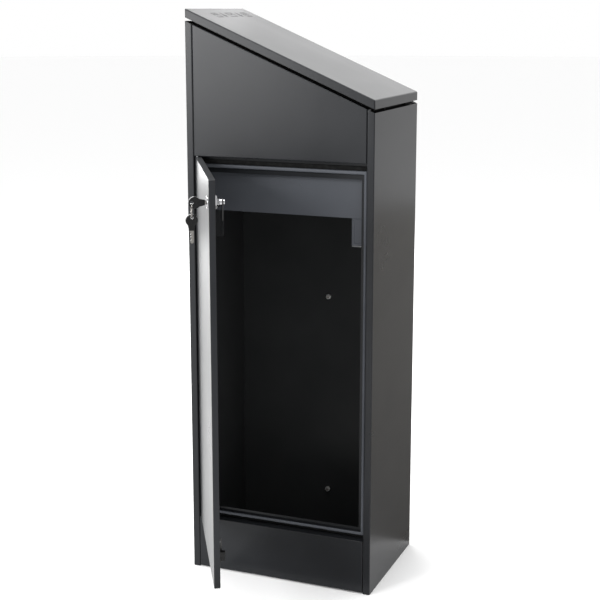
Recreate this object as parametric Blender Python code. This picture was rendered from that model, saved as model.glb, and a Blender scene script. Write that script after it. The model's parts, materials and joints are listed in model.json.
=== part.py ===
"""Parcel drop box with a sloping lid, a letter flap in the front and a key-locked door in the rear.

Frame: metres, +Z up. The origin is the middle of the box's footprint, on the floor. +X points to the
high side of the slope, -Y to the front (street) and +Y to the rear, where the door is. The door is
stored open, as the box stands while it is being emptied.

Sheet-metal pieces are drawn as their outer surface and get their thickness from a Solidify modifier;
turned pieces are profiles spun round an axis; flat pieces are outlines that are extruded.
"""

import math

import bmesh
import bpy
from mathutils import Vector

MM = 0.001

# ---- fits -------------------------------------------------------------------------------------------
SEAT_GAP = 0.3 * MM  # between two pieces that touch
PIN_PLAY = 0.25 * MM  # radial, round every pin in its hole
PANEL_GAP = 1.0 * MM  # shadow line beside the rear panels

# ---- body -------------------------------------------------------------------------------------------
WIDTH = 400 * MM
DEPTH = 280 * MM
HEIGHT_HIGH = 1180 * MM  # top of the lid on the high side
LID_FALL = 171 * MM  # from the lid's high side to its low side
SHEET = 1.5 * MM  # wall of every folded steel panel
FLANGE = 15 * MM  # face width of the side panels' front and rear flanges
FRONT_RECESS = 10 * MM  # front panel behind the flanges' faces
PANEL_FOOT = 2 * MM  # front strip, front panel and plinth above the floor
PLINTH_TOP = 114 * MM
TOP_PANEL_DROP = 122 * MM  # rear top panel's lower edge below the lid's low side
FLOOR_UPSTAND = 22 * MM
ANCHOR_SPACING_X = 260 * MM
ANCHOR_SPACING_Y = 170 * MM
ANCHOR_RADIUS = 5 * MM

# ---- lid --------------------------------------------------------------------------------------------
LID_FASCIA = 17.5 * MM
LID_SHADOW_GAP = 7 * MM  # between the fascia and the side panels
LID_HINGE_RADIUS = 2.5 * MM
LID_HINGE_PIN_RADIUS = 1.2 * MM
LID_HINGE_END = 25 * MM  # hinge's ends inside the front and rear faces
LID_HINGE_KNUCKLES = 5
LID_HINGE_CURL_DEG = 285
LID_LEAF_HEIGHT = 11 * MM  # moving leaf above the hinge axis
LID_LEAF_DROP = 22 * MM  # fixed leaf below the hinge axis
LID_HINGE_RISE = 5 * MM  # hinge axis above the high side panel's edge
COLLAR_SETBACK_X = 10 * MM
COLLAR_SETBACK_FRONT = 8.5 * MM  # behind the front panel
COLLAR_SETBACK_REAR = 2.3 * MM  # in front of the rear panels' folded edges
COLLAR_RISE = 13 * MM  # above the side panels' edge
COLLAR_FLANGE_DROP = 2.1 * MM
BUFFER_RADIUS = 3.5 * MM
BUFFER_SPACING = 140 * MM

# ---- front ------------------------------------------------------------------------------------------
STRIP_LEFT = -148.5 * MM
STRIP_WIDTH = 160.5 * MM
STUD_INSET = 20.25 * MM  # studs from the strip's long edges
STUD_RADIUS = 2.85 * MM
STUD_LENGTH = 12 * MM
LOW_STUD_HEIGHT = 108 * MM
STUD_BELOW_SLOT = 127 * MM
TOP_STUD_BELOW_EDGE = 26 * MM
NUT_ACROSS_FLATS = 10 * MM
NUT_HEIGHT = 5 * MM
SLOT_LEFT = -108 * MM
SLOT_WIDTH = 30 * MM
SLOT_DROP = 54.5 * MM  # slot's upper end below the lid's low side
SLOT_HEIGHT = 271.5 * MM
FLAP_GAP = 0.6 * MM
FLAP_AXIS_DEPTH = 6.3 * MM  # flap pin behind the flap's face
FLAP_CURL_RADIUS = 2.8 * MM
FLAP_CURL_DEG = 210
FLAP_PIN_RADIUS = 1.0 * MM
HOUSING_MARGIN = 2.5 * MM  # housing's throat wider than the slot, each side
HOUSING_SHEET = 1.2 * MM
HOUSING_FLANGE_X = 13.5 * MM
HOUSING_FLANGE_Z = 9 * MM
HOUSING_DEPTH = 18 * MM
SPRING_LENGTH = 14 * MM
SPRING_WIRE = 0.4 * MM
SPRING_TURNS = 7

# ---- door and its frame -----------------------------------------------------------------------------
DOOR_OPEN_DEG = 60.0
DOOR_THICKNESS = 12 * MM
DOOR_GAP = 2 * MM  # beside the door
DOOR_GAP_Z = 1.5 * MM  # above and below the door
DOOR_AXIS_INSET = 4.2 * MM  # hinge axis from the door's edge and from its face
DOOR_PIN_RADIUS = 1.6 * MM
DOOR_PIN_HEAD_RADIUS = 2.4 * MM
DOOR_PIN_HEAD = 2 * MM
DOOR_BLOCK = 9 * MM  # side of the square hinge blocks
DOOR_BLOCK_HEIGHT = 12 * MM
OPENING_INSET = 15.5 * MM  # clear opening's sides inside the door's edges
OPENING_RISE = 20.5 * MM  # clear opening above the plinth
OPENING_DROP = 33.5 * MM  # clear opening below the rear top panel
BEAD_GAP = 1.8 * MM  # between the closed door's rim and the bead's crown
GROOVE_GAP = 8 * MM  # between the closed door's rim and the frame's groove
FLANGE_GAP = 10.5 * MM  # between the closed door's rim and the opening's flange
BEAD_OFFSET = 7 * MM
BEAD_OFFSET_TOP = 10.2 * MM
BEAD_WIDTH = 6.5 * MM
BEAD_WIDTH_TOP = 7.5 * MM
FRAME_LAP = 13.5 * MM  # frame behind the plinth and the top panel
STIFFENER_WIDTH = 46 * MM
STIFFENER_FOOT = 9 * MM
STIFFENER_END = 65 * MM  # between the stiffener's ends and the door's
CHANNEL_WIDTH = 30 * MM
CHANNEL_END_LOW = 114.5 * MM  # between the lock channel's ends and the door's
CHANNEL_END_HIGH = 13.5 * MM

# ---- guard above the door opening -------------------------------------------------------------------
GUARD_SETBACK = 18.8 * MM  # guard plate behind the opening's flange
GUARD_DROP = 114 * MM  # below the rear top panel's lower edge
GUARD_RISE = 75 * MM  # above the rear top panel's lower edge
BRACKET_WIDTH = 58 * MM
BRACKET_DROP = 169 * MM
BRACKET_RISE = 18 * MM
BRACKET_RIM = 5 * MM
BRACKET_RIM_RISE = 0.8 * MM

# ---- lock and keys ----------------------------------------------------------------------------------
LOCK_FROM_EDGE = 25 * MM
LOCK_FROM_TOP = 43.5 * MM
BEZEL_RADIUS = 12 * MM
BEZEL_HEIGHT = 2.2 * MM
BARREL_RADIUS = 8 * MM
BARREL_PAST_RIM = 9 * MM  # barrel's inner end beyond the door's rim
PLUG_RADIUS = 6 * MM
LOCK_NUT_ACROSS_FLATS = 21 * MM
LOCK_NUT_HEIGHT = 4.5 * MM
CAM_STEP = 4.3 * MM  # cam's outer face beyond the barrel's end
CAM_THICKNESS = 2 * MM
CAM_LENGTH = 34 * MM
CAM_WIDTH = 14 * MM
CAM_TIP = 6 * MM
PLUG_SQUARE = 7 * MM
CAM_SCREW_RADIUS = 5 * MM
CAM_SCREW_HEAD = 2.6 * MM
CAM_SCREW_SHANK = 1.8 * MM
KEY_BLADE_THICKNESS = 2 * MM
KEY_BLADE_WIDTH = 7 * MM
KEY_BLADE_LENGTH = 23 * MM  # beyond the neck
KEY_HEAD_RADIUS = 11 * MM
KEY_HEAD_THICKNESS = 3.6 * MM
KEY_NECK_WIDTH = 9.5 * MM
KEY_NECK_DEG = 40  # half of the arc that the neck takes out of the round head
KEY_TIP_BEVEL = 2 * MM
KEY_NECK_GAP = 2.4 * MM  # plug's face to the end of the key's neck
KEY_SOCKET = 7 * MM  # blade inside the head
KEY_HEAD_REACH = 23.5 * MM  # head's centre in front of the door's face
KEY_HOLE_RADIUS = 3.4 * MM
KEY_HOLE_OFFSET = 5.5 * MM
RING_RADIUS = 13 * MM
RING_WIRE = 0.9 * MM
RING_PLAY = 0.9 * MM  # between the wire and the edge of a key's hole, so that the ring can swing

# ---- magnetic catch ---------------------------------------------------------------------------------
CATCH_RISE = 44.5 * MM  # above the door's lower edge
CATCH_HEIGHT = 47 * MM
CATCH_FOOT = 14 * MM
CATCH_WEB_PAST_RIM = 5 * MM  # web's free edge beyond the door's rim
MAGNET_RISE = 7 * MM  # above the bracket's lower edge
MAGNET_HEIGHT = 17 * MM
MAGNET_LENGTH = 16 * MM
MAGNET_WIDTH = 9.5 * MM
CATCH_SCREW_RADIUS = 3 * MM
CATCH_SCREW_HEAD = 2.4 * MM

# ---- places that follow from the sizes --------------------------------------------------------------
HALF = WIDTH / 2
FRONT = -DEPTH / 2
REAR = DEPTH / 2
SLOPE = LID_FALL / WIDTH
HEIGHT_LOW = HEIGHT_HIGH - LID_FALL
TOP_PANEL_BOTTOM = HEIGHT_LOW - TOP_PANEL_DROP
INNER_X = HALF - SHEET - SEAT_GAP  # how far inside pieces reach to the side panels
LIP_X = HALF - FLANGE
PANEL_HALF = LIP_X - PANEL_GAP
FRONT_FACE = FRONT + FRONT_RECESS
FRONT_BACK = FRONT_FACE + SHEET
STRIP_BACK = FRONT_FACE - SEAT_GAP
STRIP_FACE = STRIP_BACK - SHEET
STRIP_RIGHT = STRIP_LEFT + STRIP_WIDTH
SLOT_RIGHT = SLOT_LEFT + SLOT_WIDTH
SLOT_TOP = HEIGHT_LOW - SLOT_DROP
SLOT_BOTTOM = SLOT_TOP - SLOT_HEIGHT
DOOR_HALF = LIP_X - DOOR_GAP
DOOR_BOTTOM = PLINTH_TOP + DOOR_GAP_Z
DOOR_TOP = TOP_PANEL_BOTTOM - DOOR_GAP_Z
DOOR_BACK = REAR - DOOR_THICKNESS
OPENING_SIDE = DOOR_HALF - OPENING_INSET
OPENING_BOTTOM = PLINTH_TOP + OPENING_RISE
OPENING_TOP = TOP_PANEL_BOTTOM - OPENING_DROP
BEAD_Y = DOOR_BACK - BEAD_GAP
GROOVE_Y = DOOR_BACK - GROOVE_GAP
FLANGE_Y = DOOR_BACK - FLANGE_GAP
REAR_LIP = GROOVE_Y + SEAT_GAP  # free edges of the rear panels' returns
COLLAR_FRONT = FRONT_BACK + COLLAR_SETBACK_FRONT
COLLAR_REAR = REAR_LIP - COLLAR_SETBACK_REAR
GUARD_Y = FLANGE_Y - GUARD_SETBACK
GUARD_BOTTOM = TOP_PANEL_BOTTOM - GUARD_DROP
GUARD_TOP = TOP_PANEL_BOTTOM + GUARD_RISE
BRACKET_BOTTOM = TOP_PANEL_BOTTOM - BRACKET_DROP
BRACKET_TOP = TOP_PANEL_BOTTOM + BRACKET_RISE
LOCK_HEIGHT = DOOR_TOP - LOCK_FROM_TOP
BARREL_END = DOOR_BACK - BARREL_PAST_RIM
CAM_FACE = BARREL_END - CAM_STEP
CATCH_BOTTOM = DOOR_BOTTOM + CATCH_RISE
CATCH_WEB_END = DOOR_BACK - CATCH_WEB_PAST_RIM
MAGNET_BOTTOM = CATCH_BOTTOM + MAGNET_RISE
DOOR_AXIS = Vector((DOOR_HALF - DOOR_AXIS_INSET, REAR - DOOR_AXIS_INSET, 0))
LOCK_X = -DOOR_HALF + LOCK_FROM_EDGE
FLAP_AXIS = Vector((SLOT_RIGHT - FLAP_GAP - FLAP_CURL_RADIUS, STRIP_FACE + FLAP_AXIS_DEPTH, 0))
LID_AXIS_X = INNER_X - LID_HINGE_RADIUS
LID_HINGE_LENGTH = DEPTH - 2 * LID_HINGE_END
KEY_CENTRE_Y = REAR + KEY_HEAD_REACH
KEY_NECK = KEY_HEAD_REACH - SEAT_GAP - BEZEL_HEIGHT - KEY_NECK_GAP  # head's centre to the neck's end
RING_HANG = KEY_HOLE_RADIUS - RING_WIRE - RING_PLAY  # wire's centre below the hole's centre


def edge_height(x):
    """Height of the side panels' and front panel's top edge at x."""
    return HEIGHT_LOW - LID_FASCIA - LID_SHADOW_GAP + SLOPE * (x + HALF)


def lid_height(x):
    """Height of the lid's outer top surface at x."""
    return HEIGHT_LOW + SLOPE * (x + HALF)


LID_AXIS_Z = edge_height(HALF) + LID_HINGE_RISE


# ---- making shapes ----------------------------------------------------------------------------------
def clear_scene():
    for item in list(bpy.data.objects):
        bpy.data.objects.remove(item, do_unlink=True)


def new_object(name, bm, finish, smooth=False, recalculate=True):
    """Turn a bmesh into a named object with its own material; finish is (colour, roughness, metallic)."""
    if recalculate:
        bmesh.ops.recalc_face_normals(bm, faces=bm.faces)
    mesh = bpy.data.meshes.new(name)
    bm.to_mesh(mesh)
    bm.free()
    if smooth:
        mesh.shade_smooth()
        mesh.set_sharp_from_angle(angle=math.radians(35))
    colour, roughness, metallic = finish
    material = bpy.data.materials.new(name)
    material.use_nodes = True
    shader = material.node_tree.nodes["Principled BSDF"]
    shader.inputs["Base Color"].default_value = (*colour, 1)
    shader.inputs["Roughness"].default_value = roughness
    shader.inputs["Metallic"].default_value = metallic
    mesh.materials.append(material)
    item = bpy.data.objects.new(name, mesh)
    bpy.context.collection.objects.link(item)
    return item


def give_thickness(item, thickness):
    """Thicken a sheet's outer surface towards its inside."""
    solid = item.modifiers.new("thickness", "SOLIDIFY")
    solid.thickness = thickness
    solid.offset = -1
    solid.use_even_offset = True
    solid.use_quality_normals = True


def sheet(name, rows, inward, finish=None, thickness=None, loop=True, cap=False):
    """Bridge rows of points, one row for each fold line, into a sheet and thicken it inwards.

    inward: a vector from the first face towards the sheet's inside. loop: each row is a closed loop.
    cap: the last row is closed with a face, which makes a tray.
    """
    bm = bmesh.new()
    grid = [[bm.verts.new(point) for point in row] for row in rows]
    count = len(grid[0])
    for low, high in zip(grid, grid[1:]):
        for i in range(count if loop else count - 1):
            j = (i + 1) % count
            bm.faces.new((low[i], low[j], high[j], high[i]))
    if cap:
        bm.faces.new(grid[-1])
    bmesh.ops.recalc_face_normals(bm, faces=bm.faces)
    bm.faces.ensure_lookup_table()
    if bm.faces[0].normal.dot(Vector(inward)) > 0:
        bmesh.ops.reverse_faces(bm, faces=bm.faces)
    item = new_object(name, bm, finish or PAINT, recalculate=False)
    give_thickness(item, thickness or SHEET)
    return item


def extrude(name, outline, direction, finish, smooth=False):
    """Extrude a flat outline (3D points) along a vector."""
    bm = bmesh.new()
    face = bm.faces.new([bm.verts.new(point) for point in outline])
    grown = bmesh.ops.extrude_face_region(bm, geom=[face])
    top = [part for part in grown["geom"] if isinstance(part, bmesh.types.BMVert)]
    bmesh.ops.translate(bm, vec=direction, verts=top)
    return new_object(name, bm, finish, smooth)


def box(name, low, high, finish):
    """A plain block between two corners."""
    outline = [(low[0], low[1], low[2]), (high[0], low[1], low[2]),
               (high[0], high[1], low[2]), (low[0], high[1], low[2])]
    return extrude(name, outline, (0, 0, high[2] - low[2]), finish)


def turn(name, profile, centre, axis, finish, steps=24, ring=False):
    """Spin a profile of (radius, distance along the axis) round an axis through `centre`."""
    axis = Vector(axis).normalized()
    side = axis.orthogonal().normalized()
    bm = bmesh.new()
    points = [Vector(centre) + axis * along + side * radius for radius, along in profile]
    verts = [bm.verts.new(point) for point in points]
    pairs = list(zip(verts, verts[1:])) + ([(verts[-1], verts[0])] if ring else [])
    edges = [bm.edges.new(pair) for pair in pairs]
    bmesh.ops.spin(bm, geom=verts + edges, cent=centre, axis=axis, dvec=(0, 0, 0),
                   angle=2 * math.pi, steps=steps, use_merge=True)
    bmesh.ops.remove_doubles(bm, verts=bm.verts, dist=0.002 * MM)
    return new_object(name, bm, finish, smooth=True)


def rod(name, centre, axis, radius, low, high, finish, steps=16):
    """A cylinder round an axis through `centre`, from `low` to `high` along it."""
    return turn(name, [(0, low), (radius, low), (radius, high), (0, high)], centre, axis, finish, steps)


def tube(name, centre, axis, bore, radius, low, high, finish, steps=16):
    """A cylinder with a bore right through."""
    profile = [(bore, low), (radius, low), (radius, high), (bore, high)]
    return turn(name, profile, centre, axis, finish, steps, ring=True)


def helper(item):
    item.hide_render = True
    item.display_type = "WIRE"
    return item


def combine(target, tool, operation):
    step = target.modifiers.new(tool.name, "BOOLEAN")
    step.operation = operation
    step.solver = "EXACT"
    step.object = helper(tool)


def cut(target, tool):
    combine(target, tool, "DIFFERENCE")


def weld(target, tool):
    combine(target, tool, "UNION")


def drill(target, centre, axis, radius, low, high, steps=20):
    cut(target, rod(f"{target.name}_hole", centre, axis, radius, low, high, STEEL, steps))


def hexagon(centre, across_flats, along):
    """Six corners round a point, in the plane across axis `along` ("Y" or "Z")."""
    radius = across_flats / math.sqrt(3)
    corners = []
    for i in range(6):
        u = radius * math.cos(i * math.pi / 3)
        v = radius * math.sin(i * math.pi / 3)
        corners.append(Vector(centre) + (Vector((u, 0, v)) if along == "Y" else Vector((u, v, 0))))
    return corners


def arc(centre, radius, start, end, steps):
    """Points (u, v) on an arc; angles in degrees."""
    angles = [math.radians(start + (end - start) * i / steps) for i in range(steps + 1)]
    return [(centre[0] + radius * math.cos(a), centre[1] + radius * math.sin(a)) for a in angles]


PAINT = ((0.017, 0.018, 0.0205), 0.32, 0.0)
SATIN = ((0.62, 0.60, 0.57), 0.35, 1.0)
STEEL = ((0.55, 0.55, 0.56), 0.35, 1.0)
BLACK_STEEL = ((0.03, 0.03, 0.03), 0.4, 0.0)
CHROME = ((0.80, 0.80, 0.81), 0.12, 1.0)
BLACK = ((0.02, 0.02, 0.02), 0.5, 0.0)
RUBBER = ((0.025, 0.025, 0.025), 0.85, 0.0)


def rectangle_xz(x0, x1, z0, z1, y, out_x=0.0, out_top=0.0, out_bottom=0.0):
    """A rectangle's corners in a plane of constant y, grown outwards."""
    return [(x0 - out_x, y, z0 - out_bottom), (x1 + out_x, y, z0 - out_bottom),
            (x1 + out_x, y, z1 + out_top), (x0 - out_x, y, z1 + out_top)]


# ---- body -------------------------------------------------------------------------------------------
def side_panel(name, side):
    """C-shaped side panel: front and rear flanges, each with a folded lip. side is -1 (low) or +1 (high)."""
    path = [(LIP_X, FRONT_FACE - SEAT_GAP), (LIP_X, FRONT), (HALF, FRONT),
            (HALF, REAR), (LIP_X, REAR), (LIP_X, REAR_LIP + SEAT_GAP)]
    foot = [(side * x, y, 0) for x, y in path]
    top = [(side * x, y, edge_height(side * x)) for x, y in path]
    return sheet(name, [foot, top], inward=(side, 0, 0), loop=False)


def front_panel():
    outline = [(-INNER_X, FRONT_FACE, PANEL_FOOT), (INNER_X, FRONT_FACE, PANEL_FOOT),
               (INNER_X, FRONT_FACE, edge_height(INNER_X)), (-INNER_X, FRONT_FACE, edge_height(-INNER_X))]
    panel = extrude("front_panel", outline, (0, SHEET, 0), PAINT)
    throat = box("front_panel_throat",
                 (SLOT_LEFT - HOUSING_MARGIN, FRONT_FACE - SHEET, SLOT_BOTTOM - HOUSING_MARGIN),
                 (SLOT_RIGHT + HOUSING_MARGIN, FRONT_BACK + SHEET, SLOT_TOP + HOUSING_MARGIN), PAINT)
    cut(panel, throat)
    for x, z in stud_places():
        drill(panel, (x, FRONT_FACE, z), (0, 1, 0), STUD_RADIUS + PIN_PLAY, -SHEET, 2 * SHEET, steps=16)
    return panel


def stud_places():
    """Places (x, z) of the studs on the back of the front strip."""
    columns = (STRIP_LEFT + STUD_INSET, STRIP_RIGHT - STUD_INSET)
    return [(x, z) for x in columns
            for z in (LOW_STUD_HEIGHT, SLOT_BOTTOM - STUD_BELOW_SLOT, edge_height(x) - TOP_STUD_BELOW_EDGE)]


def front_strip():
    """Satin metal strip over the front panel, with the letter slot and welded studs on its back."""
    outline = [(STRIP_LEFT, STRIP_FACE, PANEL_FOOT), (STRIP_RIGHT, STRIP_FACE, PANEL_FOOT),
               (STRIP_RIGHT, STRIP_FACE, edge_height(STRIP_RIGHT)),
               (STRIP_LEFT, STRIP_FACE, edge_height(STRIP_LEFT))]
    strip = extrude("front_trim_strip", outline, (0, SHEET, 0), SATIN)
    for x, z in stud_places():
        root = STRIP_FACE + SHEET / 2
        weld(strip, rod("stud", (x, root, z), (0, 1, 0), STUD_RADIUS, 0, STUD_LENGTH, SATIN))
    slot = box("letter_slot", (SLOT_LEFT, STRIP_FACE - SHEET, SLOT_BOTTOM),
               (SLOT_RIGHT, STRIP_BACK + SHEET / 10, SLOT_TOP), SATIN)
    cut(strip, slot)
    for number, (x, z) in enumerate(stud_places(), start=1):
        seat = Vector((x, FRONT_BACK + SEAT_GAP, z))
        nut = extrude(f"trim_nut_{number}", hexagon(seat, NUT_ACROSS_FLATS, "Y"), (0, NUT_HEIGHT, 0), CHROME)
        drill(nut, seat, (0, 1, 0), STUD_RADIUS + PIN_PLAY, -NUT_HEIGHT, 2 * NUT_HEIGHT, steps=16)
    return strip


def rear_tray(name, outline):
    """Flush rear panel with a folded edge all round; outline is (x, z) corners of its face."""
    rim = [(x, REAR_LIP + SEAT_GAP, z) for x, z in outline]
    face = [(x, REAR, z) for x, z in outline]
    centre = sum((Vector(point) for point in rim), Vector()) / len(rim)
    inward = centre - (Vector(rim[0]) + Vector(rim[1])) / 2
    return sheet(name, [rim, face], inward=inward, cap=True)


def rear_panels():
    top = [(-PANEL_HALF, TOP_PANEL_BOTTOM), (PANEL_HALF, TOP_PANEL_BOTTOM),
           (PANEL_HALF, edge_height(PANEL_HALF)), (-PANEL_HALF, edge_height(-PANEL_HALF))]
    plinth = [(-PANEL_HALF, PANEL_FOOT), (PANEL_HALF, PANEL_FOOT),
              (PANEL_HALF, PLINTH_TOP), (-PANEL_HALF, PLINTH_TOP)]
    panels = rear_tray("rear_top_panel", top), rear_tray("rear_plinth_panel", plinth)
    for panel in panels:
        drill(panel, DOOR_AXIS, (0, 0, 1), DOOR_PIN_RADIUS + PIN_PLAY,
              PLINTH_TOP - 2 * SHEET, TOP_PANEL_BOTTOM + 2 * SHEET)
    return panels


def floor_plate():
    """Base tray; its floor carries four anchor holes."""
    def ring(z):
        return [(-INNER_X, FRONT_BACK + SEAT_GAP, z), (INNER_X, FRONT_BACK + SEAT_GAP, z),
                (INNER_X, REAR_LIP - SEAT_GAP, z), (-INNER_X, REAR_LIP - SEAT_GAP, z)]
    plate = sheet("floor_plate", [ring(FLOOR_UPSTAND), ring(0)], inward=(0, 1, 0), cap=True)
    for x in (-ANCHOR_SPACING_X / 2, ANCHOR_SPACING_X / 2):
        for y in (-ANCHOR_SPACING_Y / 2, ANCHOR_SPACING_Y / 2):
            drill(plate, (x, y, 0), (0, 0, 1), ANCHOR_RADIUS, -SHEET, 2 * SHEET)
    return plate


def top_collar():
    """Upstand under the lid, with a flange that meets the panels."""
    def ring(grow, rise):
        flange_x = INNER_X - SHEET * SLOPE  # the flange leans with the slope
        x = HALF - COLLAR_SETBACK_X + (flange_x - HALF + COLLAR_SETBACK_X) * grow
        front = COLLAR_FRONT + (FRONT_BACK + SEAT_GAP - COLLAR_FRONT) * grow
        rear = COLLAR_REAR + (REAR_LIP - SEAT_GAP - COLLAR_REAR) * grow
        corners = [(-x, front), (x, front), (x, rear), (-x, rear)]
        return [(u, v, edge_height(u) + rise) for u, v in corners]
    rows = [ring(1, -COLLAR_FLANGE_DROP), ring(0, -COLLAR_FLANGE_DROP), ring(0, COLLAR_RISE)]
    collar = sheet("top_collar", rows, inward=(0, 0, -1))
    half = LID_HINGE_LENGTH / 2 + 2 * PANEL_GAP
    leaf = LID_HINGE_RADIUS - LID_HINGE_PIN_RADIUS + SEAT_GAP
    cut(collar, box("hinge_leaf_notch", (INNER_X - leaf, -half, LID_AXIS_Z - 2 * LID_LEAF_DROP),
                    (HALF, half, LID_AXIS_Z), PAINT))
    return collar


def guard_parts():
    """Anti-theft plate above the door opening and the two brackets that carry it."""
    y = GUARD_Y
    outline = [(-INNER_X, y, GUARD_BOTTOM), (INNER_X, y, GUARD_BOTTOM),
               (INNER_X, y, GUARD_TOP), (-INNER_X, y, GUARD_TOP)]
    extrude("chute_guard_plate", outline, (0, -SHEET, 0), PAINT)
    seat = y - SHEET - SEAT_GAP - BRACKET_RIM_RISE
    for name, side in (("guard_bracket_low", -1), ("guard_bracket_high", 1)):
        inner = side * (INNER_X - BRACKET_WIDTH)
        x0, x1 = sorted((inner, side * INNER_X))
        low = (x0, seat - SHEET, BRACKET_BOTTOM)
        bracket = box(name, low, (x1, seat, BRACKET_TOP), PAINT)
        rim_x0, rim_x1 = sorted((inner, inner + side * BRACKET_RIM))
        rims = (("side", (rim_x0, seat - SHEET / 2, BRACKET_BOTTOM),
                 (rim_x1, seat + BRACKET_RIM_RISE, GUARD_BOTTOM - BRACKET_RIM)),
                ("foot", (x0, seat - SHEET / 2, BRACKET_BOTTOM),
                 (x1, seat + BRACKET_RIM_RISE, BRACKET_BOTTOM + BRACKET_RIM)))
        for label, rim_low, rim_high in rims:
            weld(bracket, box(f"{name}_{label}", rim_low, rim_high, PAINT))


def door_frame():
    """Frame welded round the door opening: inner flange, raised bead, groove and outer lap."""
    lap_bottom = OPENING_BOTTOM - PLINTH_TOP + FRAME_LAP
    lap_top = TOP_PANEL_BOTTOM - OPENING_TOP + FRAME_LAP
    bead_end = BEAD_OFFSET + BEAD_WIDTH
    bead_end_top = BEAD_OFFSET_TOP + BEAD_WIDTH_TOP
    steps = [(0, 0, 0, FLANGE_Y), (BEAD_OFFSET, BEAD_OFFSET_TOP, BEAD_OFFSET, FLANGE_Y),
             (BEAD_OFFSET, BEAD_OFFSET_TOP, BEAD_OFFSET, BEAD_Y), (bead_end, bead_end_top, bead_end, BEAD_Y),
             (bead_end, bead_end_top, bead_end, GROOVE_Y),
             (INNER_X - OPENING_SIDE, lap_top, lap_bottom, GROOVE_Y)]
    rows = [rectangle_xz(-OPENING_SIDE, OPENING_SIDE, OPENING_BOTTOM, OPENING_TOP, y, side, top, bottom)
            for side, top, bottom, y in steps]
    return sheet("door_frame", rows, inward=(0, -1, 0))


# ---- letter flap ------------------------------------------------------------------------------------
def spring_range():
    middle = (SLOT_BOTTOM + SLOT_TOP) / 2
    return middle - SPRING_LENGTH / 2, middle + SPRING_LENGTH / 2


def letter_flap():
    """Flap flush with the strip; its right edge is folded back and curled round the pin."""
    left = SLOT_LEFT + FLAP_GAP
    right = SLOT_RIGHT - FLAP_GAP
    axis = (FLAP_AXIS.x, FLAP_AXIS.y)
    path = [(left, STRIP_FACE), (right, STRIP_FACE), *arc(axis, FLAP_CURL_RADIUS, 0, FLAP_CURL_DEG, 8)]
    rows = [[(x, y, z) for x, y in path] for z in (SLOT_BOTTOM + FLAP_GAP, SLOT_TOP - FLAP_GAP)]
    flap = sheet("letter_flap", rows, inward=(0, 1, 0), finish=SATIN, loop=False)
    low, high = spring_range()
    notch = 2 * FLAP_CURL_RADIUS
    cut(flap, box("spring_notch", (FLAP_AXIS.x - notch, STRIP_BACK + MM, low - MM),
                  (right + MM, FLAP_AXIS.y + notch, high + MM), SATIN))
    return flap


def letter_housing():
    """Frame behind the front panel that guides letters and carries the flap's pin."""
    x0, x1 = SLOT_LEFT - HOUSING_MARGIN, SLOT_RIGHT + HOUSING_MARGIN
    z0, z1 = SLOT_BOTTOM - HOUSING_MARGIN, SLOT_TOP + HOUSING_MARGIN
    seat = FRONT_BACK + SEAT_GAP
    rows = [rectangle_xz(x0, x1, z0, z1, seat + HOUSING_DEPTH),
            rectangle_xz(x0, x1, z0, z1, seat),
            rectangle_xz(x0, x1, z0, z1, seat, HOUSING_FLANGE_X, HOUSING_FLANGE_Z, HOUSING_FLANGE_Z)]
    housing = sheet("letter_flap_housing", rows, inward=(0, 0, -1), thickness=HOUSING_SHEET)
    drill(housing, FLAP_AXIS, (0, 0, 1), FLAP_PIN_RADIUS + PIN_PLAY,
          z0 - 4 * HOUSING_SHEET, z1 + 4 * HOUSING_SHEET)
    reach = HOUSING_SHEET + 2 * MM
    rod("letter_flap_pin", FLAP_AXIS, (0, 0, 1), FLAP_PIN_RADIUS, z0 - reach, z1 + reach, STEEL)
    return housing


def letter_spring():
    """Torsion spring round the flap's pin, swept along a helix."""
    low, high = spring_range()
    radius = FLAP_PIN_RADIUS + PIN_PLAY + SPRING_WIRE
    per_turn = 10
    path = bpy.data.curves.new("letter_flap_spring", "CURVE")
    path.dimensions = "3D"
    path.bevel_depth = SPRING_WIRE
    path.bevel_resolution = 1
    path.use_fill_caps = True
    count = SPRING_TURNS * per_turn + 1
    line = path.splines.new("POLY")
    line.points.add(count - 1)
    for i, point in enumerate(line.points):
        angle = 2 * math.pi * i / per_turn
        height = low + SPRING_WIRE + (high - low - 2 * SPRING_WIRE) * i / (count - 1)
        point.co = (FLAP_AXIS.x + radius * math.cos(angle), FLAP_AXIS.y + radius * math.sin(angle), height, 1)
    item = bpy.data.objects.new("letter_flap_spring", path)
    bpy.context.collection.objects.link(item)
    material = bpy.data.materials.new("letter_flap_spring")
    material.use_nodes = True
    shader = material.node_tree.nodes["Principled BSDF"]
    shader.inputs["Base Color"].default_value = (*STEEL[0], 1)
    shader.inputs["Roughness"].default_value = STEEL[1]
    shader.inputs["Metallic"].default_value = STEEL[2]
    path.materials.append(material)
    return item


# ---- lid --------------------------------------------------------------------------------------------
def lid_shell():
    def ring(drop):
        corners = [(-HALF, FRONT), (HALF, FRONT), (HALF, REAR), (-HALF, REAR)]
        return [(x, y, lid_height(x) - drop) for x, y in corners]
    return sheet("lid_shell", [ring(LID_FASCIA), ring(0)], inward=(0, 1, 0), cap=True)


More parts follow.
